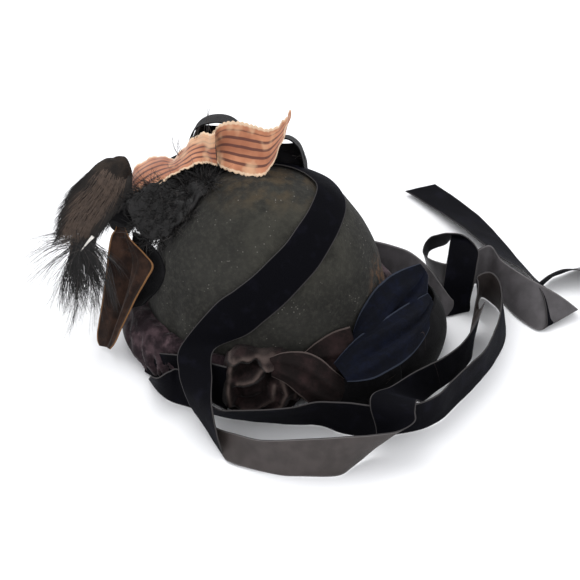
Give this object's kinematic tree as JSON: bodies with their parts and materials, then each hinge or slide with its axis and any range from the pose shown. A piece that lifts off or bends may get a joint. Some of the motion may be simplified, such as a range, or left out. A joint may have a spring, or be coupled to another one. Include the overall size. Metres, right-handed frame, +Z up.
{
  "type": "felt bonnet with ribbon ties",
  "caption": "Tall oval felt bonnet lying on its opening, with a gathered velvet band, bows, silk and feather trimming, and long velvet ribbon ties laid in loops.",
  "frame": {"origin": "centre of the head opening, in the plane that the hat lies on", "axes": "+X along the crown towards the loose ties at the right, +Y to the back, +Z up out of the crown"},
  "size_m": [0.487, 0.3899, 0.2056],
  "materials": {
    "felt": "worn matt wool felt",
    "brown_velvet": "mottled brown-purple velvet",
    "tie_velvet": "black velvet with a grey satin back",
    "navy_satin": "dark navy satin",
    "brown_silk": "worn brown silk",
    "pink_silk": "faded salmon silk with brown stripes",
    "fur": "short brown fur",
    "feather": "black and brown feather"
  },
  "bodies": {
    "root": {"crown": "felt", "base_band": "brown_velvet", "tie_front": "tie_velvet", "tie_under": "tie_velvet", "tie_back": "tie_velvet", "tie_end": "tie_velvet", "velvet_knot": "brown_velvet", "knot_tail": "brown_velvet", "band_turn_up": "brown_velvet", "navy_leaf": "navy_satin", "navy_tail": "navy_satin", "black_loop_right": "tie_velvet", "black_loop_front": "tie_velvet", "brown_loop": "brown_silk", "black_fold": "tie_velvet", "fur_loop": "fur", "feather_spray": "feather", "trim_pad": "tie_velvet", "ostrich_tuft": "feather", "silk_left": "pink_silk", "silk_right": "pink_silk", "far_loop": "tie_velvet", "right_loop": "tie_velvet"}
  },
  "joints": []
}
